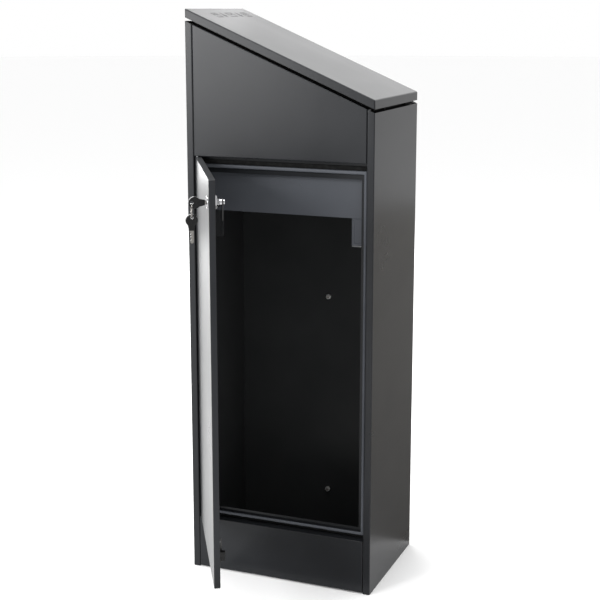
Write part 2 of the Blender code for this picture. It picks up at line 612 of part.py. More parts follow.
def hinge_leaf(name, direction, reach, own_segments):
    """One leaf of the lid's hinge, curled round the pin; direction is +1 (up) or -1 (down)."""
    centre = (LID_AXIS_X, LID_AXIS_Z)
    plate = (INNER_X, LID_AXIS_Z + direction * reach)
    curl = [(x, LID_AXIS_Z + direction * (LID_AXIS_Z - z))
            for x, z in arc(centre, LID_HINGE_RADIUS, 0, LID_HINGE_CURL_DEG, 14)]
    path = [plate, *curl]
    half = LID_HINGE_LENGTH / 2
    rows = [[(x, y, z) for x, z in path] for y in (-half, half)]
    leaf = sheet(name, rows, inward=(-1, 0, 0), finish=STEEL, loop=False,
                 thickness=LID_HINGE_RADIUS - LID_HINGE_PIN_RADIUS - PIN_PLAY)
    segment = LID_HINGE_LENGTH / LID_HINGE_KNUCKLES
    clear = LID_HINGE_RADIUS + 2 * SEAT_GAP
    for i in range(LID_HINGE_KNUCKLES):
        if i not in own_segments:
            start = -half + i * segment - SEAT_GAP
            z0, z1 = sorted((LID_AXIS_Z - direction * 2 * clear, LID_AXIS_Z + direction * clear))
            cut(leaf, box(f"{name}_notch_{i}", (LID_AXIS_X - 2 * clear, start, z0),
                          (INNER_X + MM, start + segment + 2 * SEAT_GAP, z1), STEEL))
    return leaf


def lid_assembly():
    """Everything that belongs to the lid and its hinge; returns the pieces that move with the lid."""
    moving = [lid_shell(), hinge_leaf("lid_hinge_moving_leaf", 1, LID_LEAF_HEIGHT, (1, 3))]
    hinge_leaf("lid_hinge_fixed_leaf", -1, LID_LEAF_DROP, (0, 2, 4))
    half = LID_HINGE_LENGTH / 2 + 2 * MM
    rod("lid_hinge_pin", (LID_AXIS_X, 0, LID_AXIS_Z), (0, 1, 0), LID_HINGE_PIN_RADIUS, -half, half, STEEL)
    x = -INNER_X + SEAT_GAP + BUFFER_RADIUS
    seat = edge_height(x + BUFFER_RADIUS) - COLLAR_FLANGE_DROP + SEAT_GAP
    under = lid_height(x - BUFFER_RADIUS) - SHEET * math.hypot(1, SLOPE) - SEAT_GAP
    for number, y in enumerate((-BUFFER_SPACING / 2, BUFFER_SPACING / 2), start=1):
        rod(f"lid_buffer_{number}", (x, y, 0), (0, 0, 1), BUFFER_RADIUS, seat, under, RUBBER)
    return moving


# ---- door (drawn closed, then turned open by its empty) ---------------------------------------------
def door_shell():
    rim = rectangle_xz(-DOOR_HALF, DOOR_HALF, DOOR_BOTTOM, DOOR_TOP, DOOR_BACK)
    face = rectangle_xz(-DOOR_HALF, DOOR_HALF, DOOR_BOTTOM, DOOR_TOP, REAR)
    shell = sheet("door_shell", [rim, face], inward=(0, 0, 1), cap=True)
    drill(shell, (LOCK_X, REAR, LOCK_HEIGHT), (0, 1, 0), BARREL_RADIUS + PIN_PLAY, -2 * SHEET, SHEET, 28)
    bore = DOOR_PIN_RADIUS + PIN_PLAY
    drill(shell, DOOR_AXIS, (0, 0, 1), bore, DOOR_BOTTOM - SHEET, DOOR_BOTTOM + 2 * SHEET)
    drill(shell, DOOR_AXIS, (0, 0, 1), bore, DOOR_TOP - 2 * SHEET, DOOR_TOP + SHEET)
    return shell


def hat_section(name, x, width, low, high):
    """Folded stiffener, spot-welded inside the door with its web level with the door's rim."""
    skin = REAR - SHEET - SEAT_GAP
    web = DOOR_BACK + SEAT_GAP
    half = width / 2
    path = [(x - half - STIFFENER_FOOT, skin - SHEET), (x - half, skin - SHEET), (x - half, web),
            (x + half, web), (x + half, skin - SHEET), (x + half + STIFFENER_FOOT, skin - SHEET)]
    rows = [[(u, v, z) for u, v in path] for z in (low, high)]
    return sheet(name, rows, inward=(0, 1, 0), loop=False)


def hinge_blocks():
    """Blocks welded in the door's corners, the pins they turn on and the washer that carries the door."""
    x1 = DOOR_HALF - SHEET - SEAT_GAP
    y1 = REAR - SHEET - SEAT_GAP
    inside_top = DOOR_TOP - SHEET - SEAT_GAP
    inside_bottom = DOOR_BOTTOM + SHEET + SEAT_GAP
    moving = []
    for name, low in (("top", inside_top - DOOR_BLOCK_HEIGHT), ("bottom", inside_bottom)):
        block = box(f"door_hinge_block_{name}", (x1 - DOOR_BLOCK, y1 - DOOR_BLOCK, low),
                    (x1, y1, low + DOOR_BLOCK_HEIGHT), STEEL)
        drill(block, DOOR_AXIS, (0, 0, 1), DOOR_PIN_RADIUS + PIN_PLAY,
              low - SHEET, low + 2 * DOOR_BLOCK_HEIGHT)
        moving.append(block)
    head_foot = TOP_PANEL_BOTTOM + SHEET + SEAT_GAP
    pin_foot = inside_top - DOOR_BLOCK_HEIGHT + MM
    turn("door_hinge_pin_top", [(0, pin_foot), (DOOR_PIN_RADIUS, pin_foot),
                                (DOOR_PIN_RADIUS, head_foot), (DOOR_PIN_HEAD_RADIUS, head_foot),
                                (DOOR_PIN_HEAD_RADIUS, head_foot + DOOR_PIN_HEAD),
                                (0, head_foot + DOOR_PIN_HEAD)],
         DOOR_AXIS, (0, 0, 1), STEEL)
    head_top = PLINTH_TOP - SHEET - SEAT_GAP
    pin_top = inside_bottom + DOOR_BLOCK_HEIGHT - MM
    turn("door_hinge_pin_bottom", [(0, head_top - DOOR_PIN_HEAD),
                                   (DOOR_PIN_HEAD_RADIUS, head_top - DOOR_PIN_HEAD),
                                   (DOOR_PIN_HEAD_RADIUS, head_top), (DOOR_PIN_RADIUS, head_top),
                                   (DOOR_PIN_RADIUS, pin_top), (0, pin_top)],
         DOOR_AXIS, (0, 0, 1), STEEL)
    tube("door_thrust_washer", DOOR_AXIS, (0, 0, 1), DOOR_PIN_RADIUS + PIN_PLAY, DOOR_PIN_HEAD_RADIUS,
         PLINTH_TOP + SEAT_GAP, DOOR_BOTTOM - SEAT_GAP, BLACK)
    return moving


def lock_parts():
    """Cam lock: body and nut stay with the door; plug, cam, screw and key turn. Returns both groups."""
    centre = (LOCK_X, 0, LOCK_HEIGHT)
    outward = (0, 1, 0)
    web = DOOR_BACK + SEAT_GAP
    seat = REAR + SEAT_GAP
    bore = PLUG_RADIUS + PIN_PLAY
    body = turn("lock_body", [(bore, BARREL_END), (BARREL_RADIUS, BARREL_END), (BARREL_RADIUS, seat),
                              (BEZEL_RADIUS, seat), (BEZEL_RADIUS, seat + BEZEL_HEIGHT / 2),
                              (BEZEL_RADIUS - BEZEL_HEIGHT / 2, seat + BEZEL_HEIGHT),
                              (bore, seat + BEZEL_HEIGHT)], centre, outward, CHROME, steps=32, ring=True)
    nut_face = web - SEAT_GAP
    nut_seat = Vector((LOCK_X, nut_face - LOCK_NUT_HEIGHT, LOCK_HEIGHT))
    nut = extrude("lock_nut", hexagon(nut_seat, LOCK_NUT_ACROSS_FLATS, "Y"), (0, LOCK_NUT_HEIGHT, 0), CHROME)
    drill(nut, nut_seat, outward, BARREL_RADIUS + PIN_PLAY, -LOCK_NUT_HEIGHT, 2 * LOCK_NUT_HEIGHT, steps=28)

    shank_end = CAM_FACE - CAM_THICKNESS + SEAT_GAP
    plug_face = seat + BEZEL_HEIGHT - SEAT_GAP
    plug = rod("lock_plug", centre, outward, PLUG_RADIUS, CAM_FACE + SEAT_GAP, plug_face, CHROME, steps=28)
    half = PLUG_SQUARE / 2
    weld(plug, box("plug_square", (LOCK_X - half, shank_end, LOCK_HEIGHT - half),
                   (LOCK_X + half, CAM_FACE + 2 * MM, LOCK_HEIGHT + half), CHROME))
    screw_end = BARREL_END + MM
    drill(plug, centre, outward, CAM_SCREW_SHANK + PIN_PLAY,
          CAM_FACE - 2 * CAM_THICKNESS, screw_end + SEAT_GAP)
    blade_end = plug_face + KEY_NECK_GAP - KEY_BLADE_LENGTH
    thick = KEY_BLADE_THICKNESS / 2 + SEAT_GAP
    wide = KEY_BLADE_WIDTH / 2 + SEAT_GAP
    cut(plug, box("keyway", (LOCK_X - thick, blade_end - SEAT_GAP, LOCK_HEIGHT - wide),
                  (LOCK_X + thick, plug_face + MM, LOCK_HEIGHT + wide), CHROME))

    hole = PLUG_SQUARE / 2 + PIN_PLAY
    cam_round = arc((LOCK_X, LOCK_HEIGHT), CAM_WIDTH / 2, 0, 180, 8)
    tip = arc((LOCK_X, LOCK_HEIGHT - CAM_LENGTH + CAM_TIP), CAM_TIP, 180, 360, 6)
    cam = extrude("lock_cam", [(x, CAM_FACE - CAM_THICKNESS, z) for x, z in cam_round + tip],
                  (0, CAM_THICKNESS, 0), BLACK_STEEL)
    cut(cam, box("cam_square", (LOCK_X - hole, CAM_FACE - 2 * CAM_THICKNESS, LOCK_HEIGHT - hole),
                 (LOCK_X + hole, CAM_FACE + CAM_THICKNESS, LOCK_HEIGHT + hole), STEEL))
    head = CAM_FACE - CAM_THICKNESS - SEAT_GAP
    screw = turn("cam_screw", [(0, head - CAM_SCREW_HEAD), (CAM_SCREW_RADIUS, head - CAM_SCREW_HEAD),
                               (CAM_SCREW_RADIUS, head), (CAM_SCREW_SHANK, head),
                               (CAM_SCREW_SHANK, screw_end - SEAT_GAP), (0, screw_end - SEAT_GAP)],
                 centre, outward, CHROME)
    return [body, nut], [plug, cam, screw]


def key(prefix, centre, direction, width):
    """A key: steel blade and round plastic head; returns both.

    centre: the middle of the head; direction: unit vector from the head to the blade's tip.
    width: unit vector across the blade, in the key's own plane.
    """
    along = Vector(direction)
    across = Vector(width)
    flat = along.cross(across)
    neck = KEY_NECK

    def place(u, v, w=0.0):
        return Vector(centre) + along * u + across * v + flat * w

    half_neck = KEY_NECK_WIDTH / 2
    outline = arc((0, 0), KEY_HEAD_RADIUS, KEY_NECK_DEG, 360 - KEY_NECK_DEG, 16)
    outline += [(neck, -half_neck), (neck, half_neck)]
    depth = KEY_HEAD_THICKNESS / 2
    head = extrude(f"{prefix}_head", [place(u, v, -depth) for u, v in outline], flat * 2 * depth, BLACK)
    drill(head, place(-KEY_HOLE_OFFSET, 0), flat, KEY_HOLE_RADIUS, -2 * depth, 2 * depth)
    inner = neck - KEY_SOCKET
    slot_half = KEY_BLADE_WIDTH / 2
    thick = KEY_BLADE_THICKNESS / 2
    pocket = [place(inner - SEAT_GAP, -slot_half - SEAT_GAP, -thick - SEAT_GAP),
              place(neck + MM, -slot_half - SEAT_GAP, -thick - SEAT_GAP),
              place(neck + MM, slot_half + SEAT_GAP, -thick - SEAT_GAP),
              place(inner - SEAT_GAP, slot_half + SEAT_GAP, -thick - SEAT_GAP)]
    cut(head, extrude(f"{prefix}_pocket", pocket, flat * 2 * (thick + SEAT_GAP), BLACK))
    tip = neck + KEY_BLADE_LENGTH
    shoulder = tip - KEY_TIP_BEVEL
    blade_outline = [(inner, -slot_half), (shoulder, -slot_half), (tip, -slot_half / 3),
                     (tip, slot_half / 3), (shoulder, slot_half), (inner, slot_half)]
    blade = extrude(f"{prefix}_blade", [place(u, v, -thick) for u, v in blade_outline],
                    flat * 2 * thick, STEEL)
    return [head, blade]


def keys_and_ring():
    """Key in the lock, split ring through its hole and the spare key hanging from the ring."""
    lock_key = key("key", (LOCK_X, KEY_CENTRE_Y, LOCK_HEIGHT), (0, -1, 0), (0, 0, 1))
    hang = ring_top()
    centre = hang - Vector((0, 0, RING_RADIUS))
    bpy.ops.mesh.primitive_torus_add(major_radius=RING_RADIUS, minor_radius=RING_WIRE, major_segments=32,
                                     minor_segments=8, location=centre, rotation=(math.pi / 2, 0, 0))
    ring = bpy.context.object
    ring.name = "key_ring"
    ring.data.name = "key_ring"
    ring.data.materials.append(lock_key[1].data.materials[0].copy())
    spare_centre = spare_hang() + Vector((0, 0, RING_HANG - KEY_HOLE_OFFSET))
    spare = key("spare_key", spare_centre, (0, 0, -1), (0, 1, 0))
    return lock_key, ring, spare


def ring_top():
    """Centre of the ring's wire where it passes through the key in the lock."""
    return Vector((LOCK_X, KEY_CENTRE_Y + KEY_HOLE_OFFSET, LOCK_HEIGHT - RING_HANG))


def spare_hang():
    """Centre of the ring's wire where the spare key hangs on it."""
    return ring_top() - Vector((0, 0, 2 * RING_RADIUS))


def catch_parts():
    """Magnetic catch low on the door's free edge: bracket, magnet housing and its screw."""
    skin = REAR - SHEET - SEAT_GAP
    bead_side = -OPENING_SIDE - BEAD_OFFSET
    magnet_low = bead_side + SEAT_GAP
    web_x = magnet_low + MAGNET_WIDTH + SEAT_GAP
    path = [(web_x + SHEET + CATCH_FOOT, skin), (web_x, skin), (web_x, CATCH_WEB_END)]
    rows = [[(x, y, z) for x, y in path] for z in (CATCH_BOTTOM, CATCH_BOTTOM + CATCH_HEIGHT)]
    bracket = sheet("catch_bracket", rows, inward=(0, -1, 0), finish=BLACK_STEEL, loop=False)
    face = FLANGE_Y + SEAT_GAP
    magnet = box("catch_magnet", (magnet_low, face, MAGNET_BOTTOM),
                 (magnet_low + MAGNET_WIDTH, face + MAGNET_LENGTH, MAGNET_BOTTOM + MAGNET_HEIGHT), BLACK)
    screw_z = CATCH_BOTTOM + CATCH_HEIGHT - 2 * CATCH_SCREW_RADIUS
    screw_y = CATCH_WEB_END + 2 * CATCH_SCREW_RADIUS
    screw = turn("catch_screw", [(0, 0), (CATCH_SCREW_RADIUS, 0), (CATCH_SCREW_RADIUS, CATCH_SCREW_HEAD / 3),
                                 (CATCH_SCREW_RADIUS / 2, CATCH_SCREW_HEAD), (0, CATCH_SCREW_HEAD)],
                 (web_x - SEAT_GAP, screw_y, screw_z), (-1, 0, 0), CHROME)
    return [bracket, magnet, screw]


# ---- putting the moving pieces on their axes --------------------------------------------------------
def pivot(name, place, parent=None):
    empty = bpy.data.objects.new(name, None)
    bpy.context.collection.objects.link(empty)
    empty.location = place
    if parent:
        hang_on(parent, [empty])
    return empty


def hang_on(parent, items):
    bpy.context.view_layer.update()
    for item in items:
        item.parent = parent
        item.matrix_parent_inverse = parent.matrix_world.inverted()


def helpers_of(items):
    """The cutters and welded-on shapes that an item's modifiers use, which have to travel with it."""
    return [step.object for item in items for step in item.modifiers if step.type == "BOOLEAN"]


def build():
    clear_scene()
    side_panel("low_side_panel", -1)
    side_panel("high_side_panel", 1)
    front_panel()
    front_strip()
    rear_panels()
    floor_plate()
    top_collar()
    guard_parts()
    door_frame()

    flap = letter_flap()
    letter_housing()
    letter_spring()
    flap_pivot = pivot("flap_pivot", FLAP_AXIS + Vector((0, 0, SLOT_BOTTOM)))
    hang_on(flap_pivot, [flap, *helpers_of([flap])])

    lid = lid_assembly()
    lid_pivot = pivot("lid_pivot", (LID_AXIS_X, 0, LID_AXIS_Z))
    hang_on(lid_pivot, lid + helpers_of(lid))

    fixed_lock, turning = lock_parts()
    lock_key, ring, spare = keys_and_ring()
    channel_x = -DOOR_HALF + SHEET + SEAT_GAP + STIFFENER_FOOT + CHANNEL_WIDTH / 2
    channel = hat_section("door_lock_channel", channel_x, CHANNEL_WIDTH,
                          DOOR_BOTTOM + CHANNEL_END_LOW, DOOR_TOP - CHANNEL_END_HIGH)
    drill(channel, (LOCK_X, DOOR_BACK, LOCK_HEIGHT), (0, 1, 0), BARREL_RADIUS + PIN_PLAY,
          -SHEET, 3 * SHEET, steps=28)
    stiffener = hat_section("door_stiffener", DOOR_HALF / 3, STIFFENER_WIDTH,
                            DOOR_BOTTOM + STIFFENER_END, DOOR_TOP - STIFFENER_END)
    door = [door_shell(), channel, stiffener, *hinge_blocks(), *fixed_lock, *catch_parts()]

    door_pivot = pivot("door_pivot", DOOR_AXIS + Vector((0, 0, DOOR_BOTTOM)))
    plug_pivot = pivot("plug_pivot", (LOCK_X, REAR, LOCK_HEIGHT), door_pivot)
    ring_pivot = pivot("ring_pivot", ring_top(), plug_pivot)
    spare_pivot = pivot("spare_key_pivot", spare_hang(), ring_pivot)
    hang_on(door_pivot, door + helpers_of(door))
    turning += lock_key
    hang_on(plug_pivot, turning + helpers_of(turning))
    hang_on(ring_pivot, [ring])
    hang_on(spare_pivot, spare + helpers_of(spare))
    door_pivot.rotation_euler.z = -math.radians(DOOR_OPEN_DEG)
    bpy.context.view_layer.update()


build()
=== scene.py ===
# %% [markdown]
# # A parcel drop box in folded steel
#
# The box is a narrow steel cabinet that stands on its own foot. A lid falls away to one side, a satin
# strip with a letter flap runs up the front, and a door with a cam lock closes the rear. The packed
# model already holds every size, joint and fit. This lesson gives it the finish of the real thing:
# rounded folds, powder coat, turned chrome, worn keys and soft studio light.

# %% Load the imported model
import json
import math

import bmesh
import bpy
from mathutils import Matrix, Quaternion, Vector


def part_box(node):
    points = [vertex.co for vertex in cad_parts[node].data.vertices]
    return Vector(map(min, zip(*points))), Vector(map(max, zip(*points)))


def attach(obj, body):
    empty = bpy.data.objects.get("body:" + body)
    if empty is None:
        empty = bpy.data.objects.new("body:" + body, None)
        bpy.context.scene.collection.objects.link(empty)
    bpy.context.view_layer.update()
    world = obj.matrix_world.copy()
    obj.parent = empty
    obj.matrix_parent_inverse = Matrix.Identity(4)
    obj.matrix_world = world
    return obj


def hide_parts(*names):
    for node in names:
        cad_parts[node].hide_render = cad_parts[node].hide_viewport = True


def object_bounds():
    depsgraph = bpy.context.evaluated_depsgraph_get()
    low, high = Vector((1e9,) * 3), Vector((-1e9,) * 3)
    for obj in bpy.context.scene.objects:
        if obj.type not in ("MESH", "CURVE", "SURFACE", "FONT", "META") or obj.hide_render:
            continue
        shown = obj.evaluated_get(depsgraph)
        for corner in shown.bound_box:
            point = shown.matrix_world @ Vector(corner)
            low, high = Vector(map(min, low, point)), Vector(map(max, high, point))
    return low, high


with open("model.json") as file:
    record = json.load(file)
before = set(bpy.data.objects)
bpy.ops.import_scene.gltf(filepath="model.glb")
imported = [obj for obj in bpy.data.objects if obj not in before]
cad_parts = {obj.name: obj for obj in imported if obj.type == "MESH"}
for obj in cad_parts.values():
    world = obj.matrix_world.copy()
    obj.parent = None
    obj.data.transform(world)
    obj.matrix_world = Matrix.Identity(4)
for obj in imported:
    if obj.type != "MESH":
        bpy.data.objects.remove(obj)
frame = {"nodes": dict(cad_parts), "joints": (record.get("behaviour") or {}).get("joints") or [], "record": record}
cad_low, cad_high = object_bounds()
MM = 0.001
print("CAD box", [round(v, 4) for v in (*cad_low, *cad_high)])

# %% [markdown]
# ## The camera
#
# The box is looked at from the rear, a little to the low side, because that view shows the open door,
# the lock and the inside at once. A long lens from two and a half metres keeps the uprights nearly
# parallel. A lens shift could keep them fully parallel, but a strong shift spoils every other view,
# so only a small one is used.

# %% The camera
LENS = 77.3
CAMERA_PLACE = Vector((-0.9801, 2.4733, 1.1815))
CAMERA_TURN = 201.8  # degrees round Z, 0 looks along +Y
CAMERA_DIP = 11.52  # degrees below the horizon
CAMERA_SHIFT = 0.05


def add_camera():
    data = bpy.data.cameras.new("camera")
    data.lens = LENS
    data.sensor_width = 36
    data.shift_y = -CAMERA_SHIFT
    camera = bpy.data.objects.new("camera", data)
    bpy.context.collection.objects.link(camera)
    camera.location = CAMERA_PLACE
    camera.rotation_euler = (math.radians(90 - CAMERA_DIP), 0, math.radians(CAMERA_TURN))
    bpy.context.scene.camera = camera
    return camera


add_camera()
print("camera", LENS, "mm lens")

# %% [markdown]
# ## The studio
#
# Dark powder coat shows its shape through what it reflects, more than through its own colour. So the
# studio is a pale floor under a pale sky, with four large soft panels: one overhead for the lid, one
# on the rear side that the rear panels mirror, one at the far side that the open door mirrors at a flat
# angle, and a weak one for the front. Small lamps would give hard dots on the chrome.

# %% The studio
FLOOR_GAP = 0.5 * MM


def add_floor():
    bpy.ops.mesh.primitive_circle_add(vertices=96, radius=30, fill_type="NGON", location=(0, 0, 0))
    floor = bpy.context.object
    floor.name = "studio_floor"
    floor.location.z = cad_low.z - FLOOR_GAP
    paint = bpy.data.materials.new("studio_floor")
    paint.use_nodes = True
    shader = paint.node_tree.nodes["Principled BSDF"]
    shader.inputs["Base Color"].default_value = (0.97, 0.97, 0.97, 1)
    shader.inputs["Roughness"].default_value = 0.75
    floor.data.materials.append(paint)
    return floor


def add_panel(name, place, aim, width, height, power):
    """A rectangular soft light at `place` that shines towards `aim`."""
    light = bpy.data.lights.new(name, "AREA")
    light.shape = "RECTANGLE"
    light.size = width
    light.size_y = height
    light.energy = power
    lamp = bpy.data.objects.new(name, light)
    bpy.context.collection.objects.link(lamp)
    lamp.location = place
    lamp.rotation_euler = (Vector(aim) - Vector(place)).to_track_quat("-Z", "Y").to_euler()
    return lamp


def add_sky(strength):
    world = bpy.data.worlds.new("studio")
    world.use_nodes = True
    world.node_tree.nodes["Background"].inputs["Color"].default_value = (1, 1, 1, 1)
    world.node_tree.nodes["Background"].inputs["Strength"].default_value = strength
    bpy.context.scene.world = world


add_floor()
add_sky(1.0)
MIDDLE = (0, 0, 0.65)
add_panel("overhead", (0.05, 0.3, 2.6), MIDDLE, 1.2, 1.2, 38)
add_panel("behind_camera", (1.95, 3.1, 1.6), (0, 0.14, 1.1), 1.5, 1.7, 130)
add_panel("far_side", (2.5, -3.2, 1.25), MIDDLE, 2.4, 1.9, 90)
add_panel("front", (0.2, -3.4, 2.2), MIDDLE, 2.4, 1.6, 12)
bpy.context.scene.view_settings.view_transform = "Standard"
print("studio: floor, sky and four soft panels")

# %% [markdown]
# ## A small language for shader maths
#
# A finish is a handful of noises that are added, scaled and mixed. Wiring them by hand hides the idea,
# so a small class wraps a socket and lets ordinary operators add the Math nodes. Colours go through
# Mix nodes instead, because a Math node turns a colour grey.

# %% A small language for shader maths
class Socket:
    """A number or vector somewhere in a node tree."""

    def __init__(self, tree, link):
        self.tree = tree
        self.link = link

    def math(self, operation, left, right):
        return node(self.tree, "ShaderNodeMath", {"operation": operation}, [left, right])[0]

    def __add__(self, other):
        return self.math("ADD", self, other)

    def __mul__(self, other):
        return self.math("MULTIPLY", self, other)

    def __sub__(self, other):
        return self.math("SUBTRACT", self, other)

    def __rsub__(self, other):
        return self.math("SUBTRACT", other, self)

    __radd__ = __add__
    __rmul__ = __mul__


def feed(tree, socket, value):
    if isinstance(value, Socket):
        tree.links.new(value.link, socket)
    else:
        socket.default_value = value


def node(tree, kind, settings=None, values=None):
    """Add any node: its settings first, then the values or links of its sockets. Returns its outputs."""
    made = tree.nodes.new(kind)
    for key, value in (settings or {}).items():
        if key == "stops":
            for stop, (place, colour) in zip(made.color_ramp.elements, value):
                stop.position = place
                stop.color = colour
        else:
            setattr(made, key, value)
    pairs = values.items() if isinstance(values, dict) else enumerate(values or [])
    for key, value in pairs:
        feed(tree, made.inputs[key], value)
    return [Socket(tree, output) for output in made.outputs]


def noise(tree, where, scale, detail=2.0, roughness=0.5):
    settings = {"Vector": where, "Scale": scale, "Detail": detail, "Roughness": roughness}
    return node(tree, "ShaderNodeTexNoise", None, settings)[0]


def ramp(tree, value, low, high):
    """Stretch the part of a value between low and high to 0..1."""
    stops = [(low, (0, 0, 0, 1)), (high, (1, 1, 1, 1))]
    return node(tree, "ShaderNodeValToRGB", {"stops": stops}, [value])[0]


def blend_colour(tree, factor, first, second):
    outputs = node(tree, "ShaderNodeMix", {"data_type": "RGBA"}, {0: factor, 6: first, 7: second})
    return outputs[2]


def stretched(tree, where, scale):
    """Squeeze a pattern along each axis, which draws fine noise out into brush lines."""
    return node(tree, "ShaderNodeMapping", None, {"Vector": where, "Scale": scale})[0]


def start_material(name, metallic):
    material = bpy.data.materials.new(name)
    material.use_nodes = True
    tree = material.node_tree
    shader = tree.nodes["Principled BSDF"]
    shader.inputs["Metallic"].default_value = metallic
    where = node(tree, "ShaderNodeTexCoord")[3]
    return material, tree, shader, where


def add_bump(tree, shader, height, depth):
    """Depth is the real height of the relief, in metres."""
    outputs = node(tree, "ShaderNodeBump", None, {"Height": height, "Strength": 1.0, "Distance": depth})
    feed(tree, shader.inputs["Normal"], outputs[0])

# %% [markdown]
# ## Cards for the reflections
#
# Under an all-white sky a dark box looks washed out, because every face mirrors white. A studio then
# stands grey cards beside the box, where a face mirrors them but the camera doesn't see them.
# Three cards do it here: a leaning one for the low side, one on the floor for the foot, and a standing
# one for the high side. Each is hidden from the camera, casts no shadow and is solid from its front
# only, so the open door and the lamps behind a card aren't blocked by it.

# %% Cards for the reflections
def add_flag(place, width, length, tilt, turn, shade):
    """A grey card that only reflections see, and only from its front; tilt and turn in degrees."""
    bpy.ops.mesh.primitive_plane_add(size=1, location=place)
    flag = bpy.context.object
    flag.name = "studio_flag"
    flag.scale = (width, length, 1)
    flag.rotation_euler = (math.radians(tilt), 0, math.radians(turn))
    card, tree, shader, _ = start_material("studio_flag", 0.0)
    shader.inputs["Base Color"].default_value = (shade, shade * 0.96, shade * 0.89, 1)
    shader.inputs["Roughness"].default_value = 0.9
    from_behind = node(tree, "ShaderNodeNewGeometry")[6]
    clear = node(tree, "ShaderNodeBsdfTransparent")[0]
    front = Socket(tree, shader.outputs[0])
    either = node(tree, "ShaderNodeMixShader", None, [from_behind, front, clear])[0]
    feed(tree, tree.nodes["Material Output"].inputs["Surface"], either)
    flag.data.materials.append(card)
    flag.visible_camera = False
    flag.visible_diffuse = False
    flag.visible_shadow = False


add_flag((-0.357, -0.5, 0.325), 1.2, 1.0, 41, 162.5, 0.34)
add_flag((-0.05, 0.40, 0.003), 0.36, 0.46, 0, 0, 0.20)
add_flag((0.665, 0.365, 0.68), 1.0, 1.36, 90, 25.5, 0.12)
print("three cards for the reflections")

# %% [markdown]
# ## Powder coat
#
# The cabinet is sprayed with anthracite powder and baked. Up close the skin is a very fine orange peel
# that breaks reflections into a soft sheen; from further off the colour drifts a little where the coat
# is thicker. Both are noise: a fine one for the relief and a slow one for colour and gloss. The coat
# inside the well is a lighter, duller copy: painted light for the light that reaches into the well.
# A much lighter, bluer copy is painted light and painted highlight, and a near-black copy is painted
# shade.

# %% Powder coat
ANTHRACITE = (0.0105, 0.0114, 0.0130, 1)
ANTHRACITE_THIN = (0.0140, 0.0150, 0.0170, 1)
COAT_IOR = 1.27  # the texture lets less light glance off than smooth lacquer does


def powder_coat(name, dark, light, roughness, ior=COAT_IOR):
    material, tree, shader, where = start_material(name, 0.0)
    slow = noise(tree, where, 7.0, 2.0, 0.5)
    peel = noise(tree, where, 420.0, 2.0, 0.5)
    cloud = noise(tree, stretched(tree, where, (3, 3, 6)), 2.0, 2.0, 0.5)
    feed(tree, shader.inputs["Base Color"], blend_colour(tree, ramp(tree, slow, 0.3, 0.7), dark, light))
    feed(tree, shader.inputs["Roughness"], slow * 0.05 + cloud * 0.05 + (roughness - 0.05))
    add_bump(tree, shader, peel, 0.03 * MM)
    shader.inputs["IOR"].default_value = ior
    return material


PAINTED = powder_coat("powder_coat", ANTHRACITE, ANTHRACITE_THIN, 0.29)
# A lighter, duller copy of the coat for the inside of the well: painted light.
PAINTED_LIGHT_INSIDE = powder_coat("powder_coat_inside_painted_light", (0.022, 0.023, 0.024, 1), (0.028, 0.029, 0.030, 1), 0.42)
# A much lighter, bluer copy of the coat: painted light on the guard plate, its low-side bracket and the plug weld,
# and a painted highlight on the bead's crown.
PAINTED_LIGHT_COAT = powder_coat("powder_coat_painted_light", (0.068, 0.073, 0.084, 1), (0.080, 0.086, 0.098, 1), 0.42)
# A near-black copy of the coat that hardly reflects: painted shade in the gap under the lid.
PAINTED_SHADE_COAT = powder_coat("powder_coat_painted_shade", (0.004, 0.004, 0.0042, 1), (0.006, 0.006, 0.006, 1), 0.6,
                           1.12)
print("powder coat made")

# %% [markdown]
# ## Bare metals
#
# Five metals meet the eye: the satin strip, zinc-plated hinges, a lighter zinc on the small nuts whose
# extra brightness is painted sheen, a chromed lock, and nickel keys.
# A metal's grain is noise pulled long in the direction it was worked. The strip is drawn with lines
# that run up its length; the turned parts only get faint smears, because chrome is polished.

# %% Bare metals
def satin_metal(name, colour, dark, roughness, stretch, depth):
    material, tree, shader, where = start_material(name, 1.0)
    lines = noise(tree, stretched(tree, where, stretch), 1.0, 4.0, 0.6)
    cloud = noise(tree, where, 5.0, 3.0, 0.6)
    feed(tree, shader.inputs["Base Color"], blend_colour(tree, lines * 0.5 + cloud * 0.4, dark, colour))
    feed(tree, shader.inputs["Roughness"], lines * 0.10 + cloud * 0.08 + (roughness - 0.09))
    add_bump(tree, shader, lines, depth)
    return material


def polished_metal(name, colour, roughness, wear):
    material, tree, shader, where = start_material(name, 1.0)
    smear = noise(tree, where, 160.0, 4.0, 0.65)
    marks = ramp(tree, noise(tree, where, 600.0, 5.0, 0.75), 0.60, 0.78)
    worn = blend_colour(tree, marks * wear, colour, (0.35, 0.34, 0.33, 1))
    feed(tree, shader.inputs["Base Color"], worn)
    feed(tree, shader.inputs["Roughness"], smear * 0.10 + marks * wear * 0.25 + roughness)
    add_bump(tree, shader, marks, 0.00001)
    return material


SATIN_STRIP = satin_metal("satin_strip", (0.50, 0.476, 0.452, 1), (0.42, 0.398, 0.378, 1), 0.46,
                          (1500, 1500, 12), 0.000006)
ZINC = satin_metal("zinc_plate", (0.66, 0.67, 0.68, 1), (0.44, 0.45, 0.46, 1), 0.36, (300, 300, 300),
                   0.00001)
CHROME = polished_metal("chrome", (0.42, 0.42, 0.43, 1), 0.06, 0.3)
KEY_NICKEL = polished_metal("key_nickel", (0.22, 0.21, 0.20, 1), 0.16, 0.9)
# A lighter copy of the zinc for the small nuts: painted sheen.
ZINC_PAINTED_SHEEN = satin_metal("zinc_painted_sheen", (0.92, 0.92, 0.92, 1), (0.78, 0.78, 0.78, 1), 0.55,
                          (200, 200, 200), 0.000006)
print("metals made")

# %% [markdown]
# ## Plastic and rubber
#
# The key heads are moulded black nylon with a fine spark-eroded texture, rubbed brighter where fingers
# hold them. The lid lands on two rubber buffers, which are matt and a little dusty.

